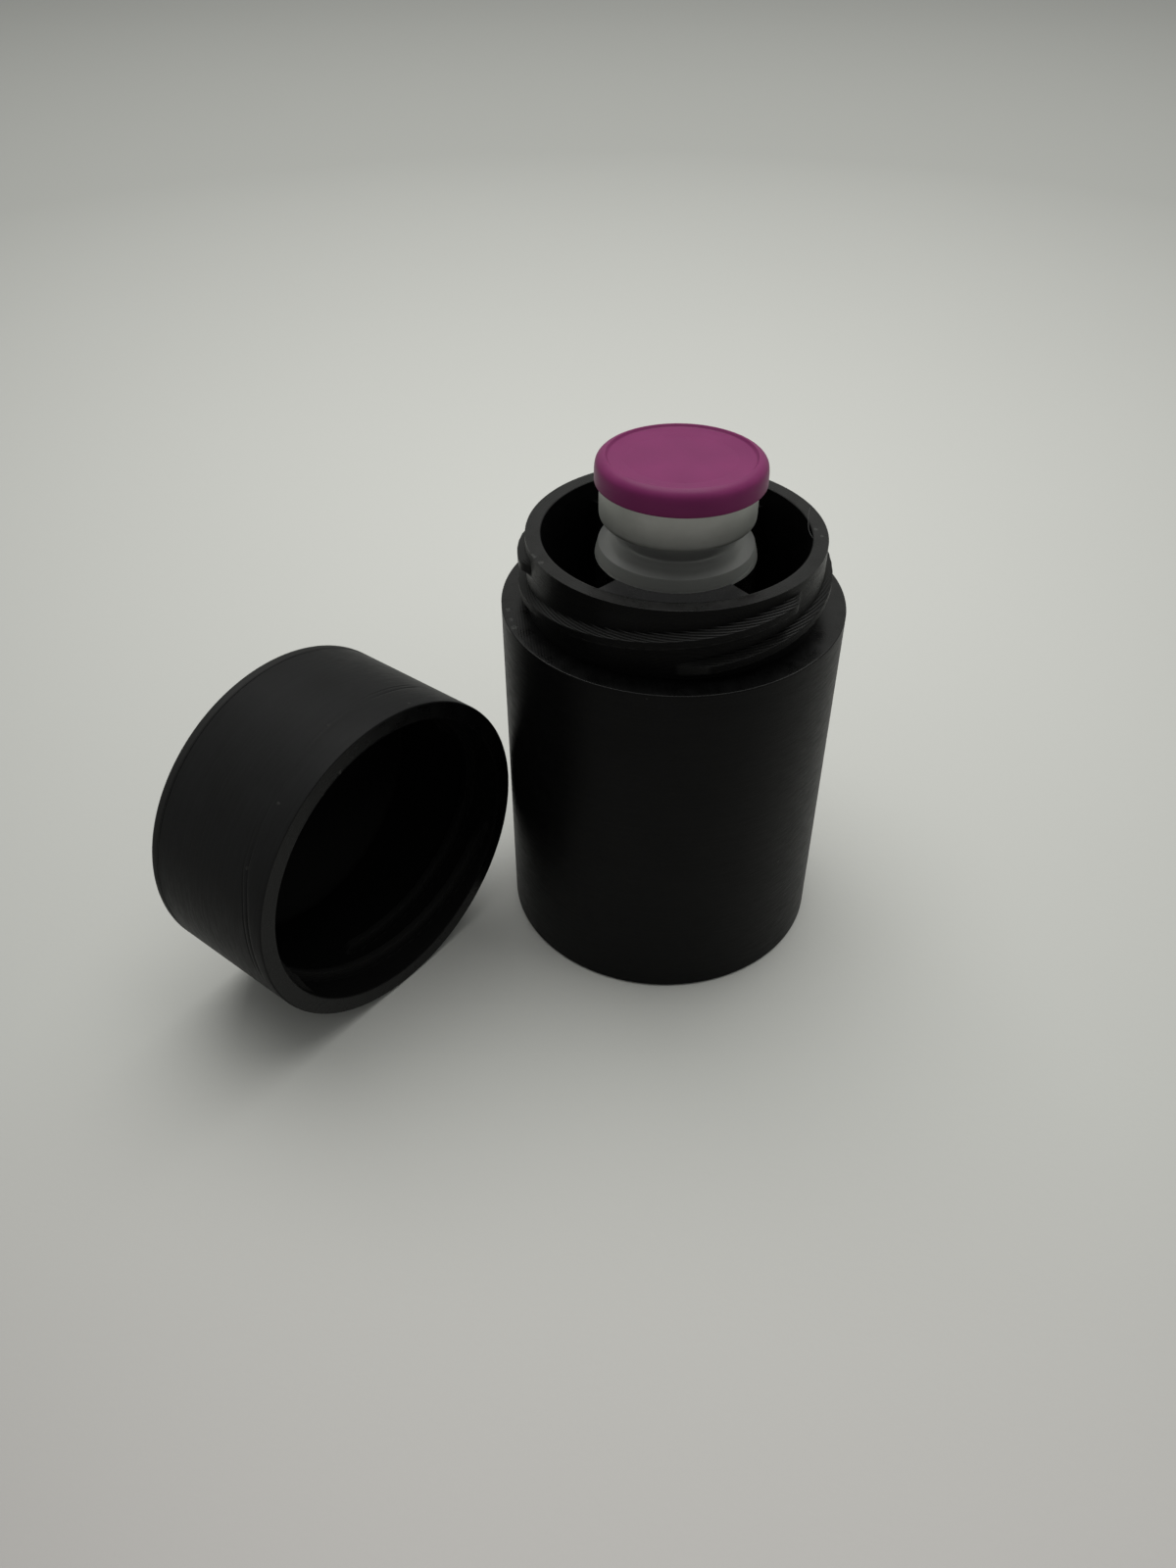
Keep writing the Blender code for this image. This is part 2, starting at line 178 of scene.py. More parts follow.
# Scuffs of the print: place and radius in millimetres
RIM_SPOTS = (
    (-18.92, -7.14, 64, 0.7),
    (-18.2, -7.9, 64, 0.55),
    (-17.91, -8.31, 64, 0.6),
    (-16.88, -9.72, 64, 0.7),
    (18.44, 1.49, 64, 0.6),
    (19.08, -0.31, 64, 0.5),
    (-22.01, -5.26, 54, 0.8),
    (-21.3, -7.6, 54, 0.7),
    (-20.69, -9.51, 54, 0.9),
)
WALL_SPOTS = ((16.95, -16.27, 20.25, 0.3), (-2.64, -23.35, 53.4, 0.3))
CAP_SPOTS = (
    (14.6, 19.05, 3.2, 0.55),
    (20.66, 12.21, 3.78, 0.5),
    (-6.66, 23.06, 0.9, 0.5),
    (3.63, 23.72, 5.1, 0.5),
)
MOUTH_SPOTS = (
    (12.95, 17.1, 0, 0.5),
    (10.07, 18.95, 0, 0.6),
    (6.94, 20.71, 0, 0.6),
    (4.58, 21.73, 0, 0.45),
)
# Paler print: the real pale band of the cap's first layers, and painted light on the thread's
# flanks and the bore's lowest ridges.
PALE_PRINT_AND_PAINTED_LIGHT = (0.030, 0.030, 0.029, 1)
SCUFF = (0.024, 0.024, 0.0228, 1)

# Stage
FLOOR_HALF = 4.0
FLOOR_Z = -0.02 * MM
# The floor's painted light: a pool round this place, fading to painted shade far off
FLOOR_LIGHT_POOL_CENTRE = (-0.011, 0.105, 0)
FLOOR_LIT = (0.514, 0.5155, 0.492, 1)
FLOOR_SHADED = (0.343, 0.345, 0.328, 1)
FLOOR_SIDE_SHADE = (0.82, 0.82, 0.82, 1)
FLOOR_FRONT_SHADE = (0.975, 0.94, 0.955, 1)
# How the floor's painted shade grows to the sides of the view, by share of the distance ahead
SIDE_START_Y = -0.266
SIDE_LEAST_DEPTH = 0.14
SIDE_SLANT = 0.078
SIDE_LIMIT = 0.55
SIDE_POWER = 2.3
SIDE_STRENGTH = 3.8
BRIGHT_SIDE = (0.22, 0.45, 0.865)
LIGHT_COLOUR = (0.98, 1.0, 0.98, 1)
LIGHT_LOW = 0.10
LIGHT_HIGH = 0.60
BACKDROP = (0.52, 0.525, 0.50, 1)
BACKDROP_LOW = 0.45
BACKDROP_HIGH = 1.0
OVERHEAD_PLACE = (0.0, 0.25, 0.95)
OVERHEAD_TARGET = (0, 0.03, 0)
OVERHEAD_SIZE = (1.1, 0.9)
OVERHEAD_POWER = 10
OVERHEAD_COLOUR = (1.0, 1.0, 0.98)
CAMERA_PLACE = (-0.000441, -0.14526, 0.14289)
CAMERA_HEADING = math.radians(4.45)
CAMERA_PITCH = math.radians(49.70)
CAMERA_ROLL = math.radians(-0.166)
CAMERA_LENS = 28.11


# Meshes

def grid_mesh(name, rings, surfaces, materials, around=False):
    """Skin rings, each an array of points or one point on the axis, into a closed mesh."""
    points, starts, sizes = [], [], []
    for ring in rings:
        ring = np.atleast_2d(ring)
        starts.append(sum(sizes))
        sizes.append(len(ring))
        points.append(ring)
    count = max(sizes)
    faces, slots = [], []
    pairs = list(zip(range(len(rings)), range(1, len(rings))))
    if around:
        pairs.append((len(rings) - 1, 0))
    for number, (a, b) in enumerate(pairs):
        for i in range(count):
            j = (i + 1) % count
            corners = [starts[a] + i % sizes[a], starts[a] + j % sizes[a]]
            corners += [starts[b] + j % sizes[b], starts[b] + i % sizes[b]]
            faces.append(list(dict.fromkeys(corners)))
            slots.append(surfaces[number])
    mesh = bpy.data.meshes.new(name)
    mesh.from_pydata(np.vstack(points).tolist(), [], faces)
    mesh.polygons.foreach_set("material_index", slots)
    work = bmesh.new()
    work.from_mesh(mesh)
    bmesh.ops.remove_doubles(work, verts=work.verts, dist=1e-7)
    bmesh.ops.dissolve_degenerate(work, edges=work.edges, dist=1e-7)
    bmesh.ops.recalc_face_normals(work, faces=work.faces)
    for face in work.faces:
        face.smooth = True
    work.to_mesh(mesh)
    work.free()
    mesh.set_sharp_from_angle(angle=SHARP_ANGLE)
    for item in materials:
        mesh.materials.append(item)
    return show(name, mesh)


def show(name, data):
    """Put data in the scene as an object."""
    made = bpy.data.objects.new(name, data)
    bpy.context.scene.collection.objects.link(made)
    return made


def skin(name, parts, materials):
    """Skin parts, each a run of rings and the surface that leads up to them, into a mesh."""
    rings = [ring for run, _ in parts for ring in run]
    slots = [surface for run, surface in parts for _ in run]
    return grid_mesh(name, rings, slots[1:], materials)


def ring_points(angles, radii, height):
    """Points at those angles, radii and heights. One radius of 0 gives one point on the axis."""
    if np.ndim(radii) == 0 and radii == 0:
        return np.array([0, 0, height])
    radii = np.broadcast_to(radii, angles.shape)
    heights = np.broadcast_to(height, angles.shape)
    return np.stack([radii * np.cos(angles), radii * np.sin(angles), heights], axis=1)


def edge_rings(angles, radius, height, steps):
    """Rings near an edge, each (inwards, down) from it in millimetres."""
    return [ring_points(angles, radius - inward * MM, height - down * MM) for inward, down in steps]


def flat_rings(angles, radii, height):
    """Rings of a flat face, their radii in millimetres."""
    return [ring_points(angles, radius * MM, height) for radius in radii]


def column_angles(jumps, extra=()):
    """Even angles, with a close pair at each sudden step and room left round it."""
    special = [a + s for a in jumps for s in (-JUMP / 2, JUMP / 2)] + list(extra)
    special = np.array([a % TAU for a in special])
    even = np.arange(COLUMNS) * TAU / COLUMNS
    apart = np.abs((even[:, None] - special[None, :] + math.pi) % TAU - math.pi).min(axis=1)
    return np.sort(np.concatenate([even[apart > CLEAR_OF_JUMP], special]))


def thread_share(angles, height, ends, end_height, turn):
    """Share of the thread's full depth at each angle, for ridges that end at those angles."""
    share = np.zeros(len(angles))
    for end in ends:
        back = (end - angles) % TAU
        centre = end_height - LEAD * back / TAU
        reach = ROOT_WIDTH / 2 - np.abs(height - centre)
        rise = np.clip(reach / ((ROOT_WIDTH - CREST_WIDTH) / 2), 0, 1)
        rise = rise * np.clip(back / END_TAPER, 0, 1) * np.clip((turn - back) / START_TAPER, 0, 1)
        share = np.maximum(share, np.where(back <= turn, rise, 0))
    return share


def layered(angles, low, high, radius_at, side, seed, shape):
    """Rings of a printed wall, one bead for each layer. side is 1 on an outer wall, else -1."""
    random = np.random.default_rng(seed)
    count = round((high - low) / LAYER)
    radii = []
    for index in range(count):
        waves = sum(
            random.uniform(0.2, 0.6)
            * np.sin(angles * random.integers(2, 23) + random.uniform(0, TAU))
            for _ in range(3)
        )
        radii.append(radius_at(low + (index + 0.5) * LAYER) + LAYER_WOBBLE * waves)
    rings = []
    for index, radius in enumerate(radii):
        base = low + index * LAYER
        under = radii[max(index - 1, 0)]
        over = radii[min(index + 1, count - 1)]
        bared = BEAD_ROUND + np.clip(side * (radius - over), 0, BEAD_REACH)
        inner = side * np.minimum(side * radius, side * under)
        rings.append(ring_points(angles, inner - side * LAYER_GROOVE, base))
        for share, drop in shape:
            rings.append(ring_points(angles, radius - side * drop * bared, base + LAYER * share))
    return rings


def laid_lines(angles, start, stop, height, sink):
    """Rings of a flat face laid as lines from one radius to another, sunk between the lines."""
    count = max(1, round(abs(stop - start) / LINE))
    rings = []
    for index in range(count):
        first = start + (stop - start) * index / count
        last = start + (stop - start) * (index + 1) / count
        inset = (last - first) * LINE_EDGE_SHARE
        if index:
            rings.append(ring_points(angles, first, height - sink))
        rings.append(ring_points(angles, first + inset, height))
        rings.append(ring_points(angles, last - inset, height))
    return rings


def rounded(profile, steps=6):
    """Profile of (radius, height) points, with a fillet wherever a third value gives its radius."""
    result = []
    for index, corner in enumerate(profile):
        here = Vector(corner[:2])
        if len(corner) == 2:
            result.append(tuple(here))
            continue
        before = Vector(profile[index - 1][:2]) - here
        after = Vector(profile[(index + 1) % len(profile)][:2]) - here
        half = before.angle(after) / 2
        reach = min(corner[2] / math.tan(half), 0.49 * before.length, 0.49 * after.length)
        first = here + before.normalized() * reach
        last = here + after.normalized() * reach
        for step in range(steps + 1):
            t = step / steps
            result.append(tuple(first * (1 - t) ** 2 + here * 2 * t * (1 - t) + last * t * t))
    return result


def lathe(name, profile, materials, shift, around=False, surface_of=None):
    """Turn a profile about Z, then move it along X. Points on the axis close it, or around."""
    angles = (np.arange(SEGMENTS) + 0.5) * TAU / SEGMENTS
    rings = [ring_points(angles, radius, height) for radius, height in profile]
    pairs = zip(profile, profile[1:] + profile[:1])
    surfaces = [surface_of(*pair) if surface_of else 0 for pair in pairs]
    made = grid_mesh(name, rings, surfaces, materials, around)
    made.data.transform(Matrix.Translation((shift, 0, 0)))
    return made


# Shader nodes

def feed(tree, made, inputs):
    """Give a node its inputs, each a value or the socket that feeds it."""
    for key, value in inputs.items():
        if isinstance(value, bpy.types.NodeSocket):
            tree.links.new(value, made.inputs[key])
        else:
            made.inputs[key].default_value = value


def node(tree, kind, inputs, **settings):
    """Add a node with its inputs and settings."""
    made = tree.nodes.new("ShaderNode" + kind)
    for key, value in settings.items():
        setattr(made, key, value)
    feed(tree, made, inputs)
    return made


def start_material(name):
    """A new material, its node tree, its Principled shader and the object's coordinates."""
    material = bpy.data.materials.new(name)
    material.use_nodes = True
    tree = material.node_tree
    where = node(tree, "TexCoord", {}).outputs["Object"]
    return material, tree, tree.nodes["Principled BSDF"], where


def maths(tree, operation, *values):
    """The result of a Math node."""
    return node(tree, "Math", dict(enumerate(values)), operation=operation).outputs[0]


def product(tree, first, *others):
    """All the values times each other."""
    for value in others:
        first = maths(tree, "MULTIPLY", first, value)
    return first


def weighted(tree, *parts):
    """The sum of the values, each times its weight."""
    total = None
    for value, weight in parts:
        part = maths(tree, "MULTIPLY", value, weight)
        total = part if total is None else maths(tree, "ADD", total, part)
    return total


def axes_of(tree, where):
    """The X, Y and Z of a place."""
    return node(tree, "SeparateXYZ", {"Vector": where}).outputs


def radius_of(tree, where):
    """How far a place is from the object's own Z axis."""
    axes = axes_of(tree, where)
    flat = node(tree, "CombineXYZ", {"X": axes["X"], "Y": axes["Y"]}).outputs["Vector"]
    return node(tree, "VectorMath", {0: flat}, operation="LENGTH").outputs["Value"]


def distance(tree, where, place):
    """How far one place is from another."""
    return node(tree, "VectorMath", {0: where, 1: place}, operation="DISTANCE").outputs["Value"]


def scaled(tree, where, scale):
    """The coordinates stretched by a factor along each axis."""
    return node(tree, "Mapping", {"Vector": where, "Scale": scale}).outputs["Vector"]


def noise(tree, where, scale, detail=2.0, roughness=0.5):
    """A noise value from 0 to 1."""
    inputs = {"Vector": where, "Scale": scale, "Detail": detail, "Roughness": roughness}
    return node(tree, "TexNoise", inputs).outputs["Fac"]


def chance_of(tree, number):
    """A random value from 0 to 1 for each whole number."""
    return node(tree, "TexWhiteNoise", {"W": number}, noise_dimensions="1D").outputs["Value"]


def spread(tree, value, low, high, start=0.3, stop=0.7):
    """Map a value from start..stop to low..high."""
    inputs = {"Value": value, "From Min": start, "From Max": stop, "To Min": low, "To Max": high}
    return node(tree, "MapRange", inputs).outputs["Result"]


def blend_colours(tree, factor, first, second, **settings):
    """A colour between two, by a factor."""
    inputs = {"Factor": factor, 6: first, 7: second}
    return node(tree, "Mix", inputs, data_type="RGBA", **settings).outputs[2]


def drift(tree, value, dark, light):
    """A colour that drifts between two with a noise value."""
    return blend_colours(tree, spread(tree, value, 0, 1), dark, light)


def grey(value, warm=0.0):
    """An opaque grey, slightly warm or cold."""
    return (value * (1 + warm), value, value * (1 - warm), 1)


def bump(tree, *layers):
    """A normal from heights added up, each (socket, metres)."""
    normal = {}
    for height, metres in layers:
        inputs = {"Height": height, "Distance": metres, "Strength": 1.0, **normal}
        normal = {"Normal": node(tree, "Bump", inputs).outputs["Normal"]}
    return normal["Normal"]


# Printed plastic

def marks(tree, where, spots):
    """Where small ragged scuffs lie, from 0 to 1."""
    ragged = maths(tree, "MULTIPLY", noise(tree, where, 3000, 3.0, 0.65), 2.0)
    total = None
    for x, y, z, size in spots:
        off = distance(tree, where, (x * MM, y * MM, z * MM))
        here = spread(tree, off, 1, 0, 0.2 * size * MM, size * MM)
        total = here if total is None else maths(tree, "MAXIMUM", total, here)
    return spread(tree, maths(tree, "MULTIPLY", total, ragged), 0, 1, 0.55, 0.95)


def flank_painted_highlight(tree, where):
    """Where the neck's thread slopes: a painted highlight, paler colour on its bared layer tops."""
    radius = radius_of(tree, where)
    crest = NECK_RADIUS + THREAD_DEPTH
    outside = spread(tree, radius, 0, 0.31, NECK_RADIUS + 0.08 * MM, NECK_RADIUS + 0.2 * MM)
    return product(tree, outside, spread(tree, radius, 1, 0, crest - 0.1 * MM, crest))


def low_inside_painted_light(tree, where):
    """The lowest part of the lying cap's bore: painted light, paler colour on its ridges where
    light comes in at the mouth.
    """
    crest = CAP_BORE_RADIUS - THREAD_DEPTH + 0.1 * MM
    ridge = spread(tree, radius_of(tree, where), 0.30, 0.08, crest, CAP_BORE_RADIUS - 0.2 * MM)
    low = spread(tree, axes_of(tree, where)["Y"], 1, 0, -17 * MM, -4 * MM)
    return product(tree, ridge, low)


def near_closed_end(tree, where):
    """The first printed layers of the cap, a slightly paler band round its closed end."""
    start = CAP_LENGTH - CAP_BAND
    return spread(tree, axes_of(tree, where)["Z"], 0, 0.38, start - 0.05 * MM, start + 0.05 * MM)


def finish_print(tree, shader, where, colour, heights, spots, inputs):
    """Give the shader its colour, bump and other inputs, with pale raised scuffs at the spots."""
    if spots:
        scuffs = marks(tree, where, spots)
        colour = blend_colours(tree, scuffs, colour, SCUFF)
        heights = heights + [(scuffs, SCUFF_BUMP)]
    feed(tree, shader, {"Base Color": colour, "Normal": bump(tree, *heights), **inputs})


def print_wall(name, dark, light, specular, smooth, coarse, spots=(), pale_and_painted_light_where=None):
    """Black printed plastic on upright walls: layer lines, faint bands and grain."""
    material, tree, shader, where = start_material(name)
    layers = maths(tree, "DIVIDE", axes_of(tree, where)["Z"], LAYER)
    wave = maths(tree, "ABSOLUTE", maths(tree, "SINE", maths(tree, "MULTIPLY", layers, math.pi)))
    chance = chance_of(tree, maths(tree, "FLOOR", maths(tree, "ADD", layers, 0.001)))
    cloud = noise(tree, where, 160, 3.0)
    grain = noise(tree, where, 2600, 3.0, 0.6)
    streak = noise(tree, scaled(tree, where, (400, 400, 3200)), 1, 3.0, 0.6)
    mixed = weighted(tree, (cloud, 0.5), (streak, 0.35), (chance, 0.15))
    colour = drift(tree, mixed, dark, light)
    # Paler colour in the given places: the cap's real pale first layers, and painted light on the
    # thread and in the bore.
    if pale_and_painted_light_where:
        colour = blend_colours(tree, pale_and_painted_light_where(tree, where), colour, PALE_PRINT_AND_PAINTED_LIGHT)
    heights = [
        (wave, LAYER_BUMP), (chance, CHANCE_BUMP), (streak, STREAK_BUMP), (grain, GRAIN_BUMP),
    ]
    finish_print(tree, shader, where, colour, heights, spots, {
        "Roughness": spread(tree, streak, smooth, coarse),
        "Specular IOR Level": specular,
    })
    return material


def laid_where(tree, where):
    """Where the straight laid lines show: on the shoulder's left, the base and hidden floors."""
    axes = axes_of(tree, where)
    radius = radius_of(tree, where)
    inside = spread(tree, radius, 1, 0, 23.0 * MM, 23.2 * MM)
    clear_of_rim = spread(tree, axes["Z"], 1, 0, RIM_Z - 0.6 * MM, RIM_Z - 0.5 * MM)
    left = spread(tree, axes["X"], 1, 0, -6 * MM, -1 * MM)
    low = spread(tree, axes["Z"], 1, 0, SHOULDER_Z - 2 * MM, SHOULDER_Z - 1 * MM)
    core = spread(tree, radius, 1, 0, 21.2 * MM, 21.3 * MM)
    high = spread(tree, axes["Z"], 0, 1, 1 * MM, 2 * MM)
    left_or_low = maths(tree, "MAXIMUM", left, low)
    core_or_high = maths(tree, "MAXIMUM", core, high)
    return product(tree, inside, clear_of_rim, left_or_low, core_or_high)


def print_flat(name, dark, light, specular, spots=(), painted_glow=0.0):
    """Black printed plastic on flat faces: laid lines, grainy and slightly glossy.

    painted_glow is a small painted glow on the front half, standing in for the light that comes
    through the vial.
    """
    material, tree, shader, where = start_material(name)
    turned = node(tree, "Mapping", {"Vector": where, "Rotation": (0, 0, -INFILL_ANGLE)})
    across = axes_of(tree, turned.outputs["Vector"])["Y"]
    phase = maths(tree, "MULTIPLY", across, math.pi / INFILL_PITCH)
    wave = maths(tree, "POWER", maths(tree, "ABSOLUTE", maths(tree, "SINE", phase)), 0.5)
    chance = chance_of(tree, maths(tree, "FLOOR", maths(tree, "DIVIDE", across, INFILL_PITCH)))
    lines = product(tree, wave, laid_where(tree, where))
    cloud = noise(tree, where, 420, 3.0)
    grain = noise(tree, where, 2400, 3.0, 0.6)
    mixed = weighted(tree, (cloud, 0.55), (grain, 0.3), (chance, 0.15))
    colour = drift(tree, mixed, dark, light)
    inputs = {"Roughness": spread(tree, cloud, 0.24, 0.34), "Specular IOR Level": specular}
    # A painted glow on the front half of the face, standing in for light.
    if painted_glow:
        inputs["Emission Color"] = grey(1.0)
        inputs["Emission Strength"] = spread(tree, axes_of(tree, where)["Y"], painted_glow, 0, -8 * MM, 0)
    heights = [(lines, INFILL_BUMP), (cloud, CLOUD_BUMP), (grain, FLAT_GRAIN_BUMP)]
    finish_print(tree, shader, where, colour, heights, spots, inputs)
    return material


# Other materials

def string_grey():
    """The thin stretched plastic of a string, paler than the print."""
    material, tree, shader, where = start_material("print_string_grey")
    cloud = noise(tree, where, 1500)
    feed(tree, shader, {
        "Base Color": drift(tree, cloud, grey(0.035), grey(0.07)),
        "Roughness": 0.4,
        "Normal": bump(tree, (cloud, 0.004 * MM)),
    })
    return material


def clear_glass():
    """Clear vial glass."""
    material, tree, shader, where = start_material("vial_glass_clear")
    cloud = noise(tree, where, 180)
    feed(tree, shader, {
        "Base Color": drift(tree, cloud, (0.86, 0.90, 0.88, 1), (0.92, 0.95, 0.93, 1)),
        "Roughness": spread(tree, cloud, 0.04, 0.08),
        "IOR": 1.5,
        "Transmission Weight": 1.0,
    })
    return material


def hazy_glass():
    """The vial's shoulder and neck, an even hazy grey glass with a faint painted glow in place of
    light coming through it.
    """
    material, tree, shader, where = start_material("vial_glass_hazy")
    cloud = noise(tree, where, 160)
    feed(tree, shader, {
        "Base Color": drift(tree, cloud, (0.44, 0.455, 0.425, 1), (0.48, 0.495, 0.465, 1)),
        "Roughness": spread(tree, cloud, 0.40, 0.50),
        "IOR": 1.5,
        "Specular IOR Level": 0.2,
        # Painted glow, standing in for light that comes through the glass.
        "Emission Color": (1.0, 1.0, 0.97, 1),
        "Emission Strength": 0.009,
        "Transmission Weight": 0.93,
    })
    return material


def rubber():
    """Grey stopper rubber with a dusty grain."""
    material, tree, shader, where = start_material("stopper_rubber")
    grain = noise(tree, where, 3500)
    feed(tree, shader, {
        "Base Color": drift(tree, noise(tree, where, 500, 3.0), grey(0.15), grey(0.21)),
        "Roughness": spread(tree, grain, 0.6, 0.8),
        "Normal": bump(tree, (grain, 0.02 * MM)),
    })
    return material


def aluminium():
    """Satin aluminium drawn round the seal, with faint rings and a soft haze."""
    material, tree, shader, where = start_material("seal_aluminium")
    rings = noise(tree, scaled(tree, where, (150, 150, 9000)), 1, 3.0)
    haze = noise(tree, where, 350, 3.0)
    feed(tree, shader, {
        "Base Color": drift(tree, haze, (0.50, 0.51, 0.483, 1), (0.56, 0.57, 0.543, 1)),
        "Roughness": spread(tree, rings, 0.46, 0.56),
        "Metallic": 1.0,
        "Normal": bump(tree, (rings, 0.004 * MM), (haze, 0.02 * MM)),
    })
    return material


def purple_plastic():
    """Moulded violet plastic with a fine matt grain and slightly polished places."""
    material, tree, shader, where = start_material("button_plastic")
    cloud = noise(tree, where, 220)
    grain = noise(tree, where, 5200)
    feed(tree, shader, {
        "Base Color": drift(tree, cloud, (0.148, 0.015, 0.083, 1), (0.166, 0.019, 0.093, 1)),
        "Roughness": spread(tree, cloud, 0.38, 0.48),
        "Specular IOR Level": 0.16,
        "Subsurface Weight": 0.08,
        "Subsurface Radius": (0.9, 0.3, 0.6),
        "Subsurface Scale": 0.6 * MM,
        "Normal": bump(tree, (grain, 0.006 * MM), (cloud, 0.02 * MM)),
    })
    return material


def floor_paper():
    """Pale matt floor with painted light: a painted pool of light behind the object, painted shade
    far off, at the sides of the view and toward the front.
    """
    material, tree, shader, where = start_material("floor_pale")
    axes = axes_of(tree, where)
    cloud = noise(tree, where, 9, 3.0)
    grain = noise(tree, where, 900)
    off = distance(tree, where, FLOOR_LIGHT_POOL_CENTRE)
    off = maths(tree, "ADD", off, maths(tree, "MULTIPLY", cloud, 0.02))
    depth = maths(tree, "SUBTRACT", axes["Y"], SIDE_START_Y)
    depth = maths(tree, "MAXIMUM", depth, SIDE_LEAST_DEPTH)
    aside = maths(tree, "ADD", axes["X"], maths(tree, "MULTIPLY", axes["Y"], SIDE_SLANT))
    aside = maths(tree, "ABSOLUTE", maths(tree, "DIVIDE", aside, depth))
    side = maths(tree, "POWER", maths(tree, "MINIMUM", aside, SIDE_LIMIT), SIDE_POWER)
    side = product(tree, side, spread(tree, axes["Y"], 0, SIDE_STRENGTH, -0.2, -0.108))
    front = spread(tree, axes["Y"], 1, 0, -0.105, -0.04)
    colour = blend_colours(tree, spread(tree, off, 0, 1, 0.01, 0.38), FLOOR_LIT, FLOOR_SHADED)
    for factor, tint in ((side, FLOOR_SIDE_SHADE), (front, FLOOR_FRONT_SHADE)):
        colour = blend_colours(tree, factor, colour, tint, blend_type="MULTIPLY")
    feed(tree, shader, {
        "Base Color": colour,
        "Roughness": 0.85,
        "Specular IOR Level": 0.15,
        "Normal": bump(tree, (grain, 0.02 * MM)),
    })
    return material


# Pieces

def build_jar():
    """The printed holder, one skin from the middle of its base to the middle of its pockets."""
    materials = [
        # The holder's walls: the same black print as the cap's outside, set several times darker;
        # the difference is painted shade.
        print_wall(
            "print_wall_black", grey(0.0016), grey(0.0034, -0.02), 0.085, 0.36, 0.50, WALL_SPOTS
        ),
        print_flat("print_flat_black", grey(0.0010), grey(0.0028, -0.02), 0.23, RIM_SPOTS),
        # The seat: the holder's flat black set lighter, with a painted glow; painted light where
        # the vial shades it.
        print_flat("print_seat_painted_light", grey(0.003), grey(0.006, -0.02), 0.20, painted_glow=0.010),
        # The thread's flanks carry a painted highlight in their colour.
        print_wall(
            "print_thread_black", grey(0.0012), grey(0.0024, -0.02), 0.075, 0.27, 0.35,
            pale_and_painted_light_where=flank_painted_highlight,
        ),
    ]
    wall, flat, seat, thread = range(4)

    turns, radii = zip(*RIB_EDGE)
    ribs = [side * math.pi / 2 + s * RIB_HALF_ANGLE for side in (-1, 1) for s in (-1, 1)]
    corners = [
        edge + inward * turn
        for edge, inward in zip(ribs, (1, -1, 1, -1))
        for turn in turns[:2] + turns[-2:]
    ]
    starts = [end - JAR_THREAD_TURN for end in JAR_THREAD_ENDS]
    angles = column_angles(JAR_THREAD_ENDS + starts + ribs, corners)
    hole = np.full(len(angles), BORE_RADIUS)
    for centre in (-math.pi / 2, math.pi / 2):
        into = RIB_HALF_ANGLE - np.abs((angles - centre + math.pi) % TAU - math.pi)
        hole = np.minimum(hole, np.interp(into, turns, radii))

    def neck(height):
        share = thread_share(angles, height, JAR_THREAD_ENDS, JAR_THREAD_END_Z, JAR_THREAD_TURN)
        return NECK_RADIUS + THREAD_DEPTH * share

    heights = np.linspace(3 * MM, SHOULDER_Z - 3 * MM, 17)
    shoulder_edge = ((0, 0.3), (0, 0.11), (0.02, 0.04), (0.06, 0.01))
    shoulder = [(inward, 0) for inward in (0.1, 0.3, 0.7, 1.9)]
    neck_rings = layered(angles, SHOULDER_Z, RIM_Z, neck, 1, JAR_SEED, JAR_BEAD)
    rim_outer = NECK_RADIUS - 0.05 * MM
    rim_inner = BORE_RADIUS + 0.06 * MM
    parts = [
        (flat_rings(angles, (0, 8, 16, 22, 22.9, 23.2), 0), flat),
        ([ring_points(angles, JAR_RADIUS, height) for height in (0.3 * MM, 0.45 * MM)], wall),
        ([ring_points(angles, JAR_RADIUS, height) for height in heights], wall),
        (edge_rings(angles, JAR_RADIUS, SHOULDER_Z, shoulder_edge), wall),
        (edge_rings(angles, JAR_RADIUS, SHOULDER_Z, shoulder), flat),
        (neck_rings[:1], flat),
        (neck_rings[1:], thread),
        ([ring_points(angles, rim_outer, RIM_Z)], flat),
        (laid_lines(angles, rim_outer, rim_inner, RIM_Z, LINE_GROOVE), flat),
        ([ring_points(angles, BORE_RADIUS, RIM_Z - 0.07 * MM)], wall),
        ([ring_points(angles, BORE_RADIUS, SEAT_Z)], wall),
        ([
            ring_points(angles, hole + (BORE_RADIUS - hole) * share, SEAT_Z)
            for share in (0.6, 0.2, 0)
        ], seat),
        ([ring_points(angles, hole, POCKET_FLOOR_Z)], wall),
        ([ring_points(angles, hole * share, POCKET_FLOOR_Z) for share in (0.98, 0.8, 0.4)], flat),
        (flat_rings(angles, (0,), POCKET_FLOOR_Z), flat),
    ]
    return skin("holder_print", parts, materials)


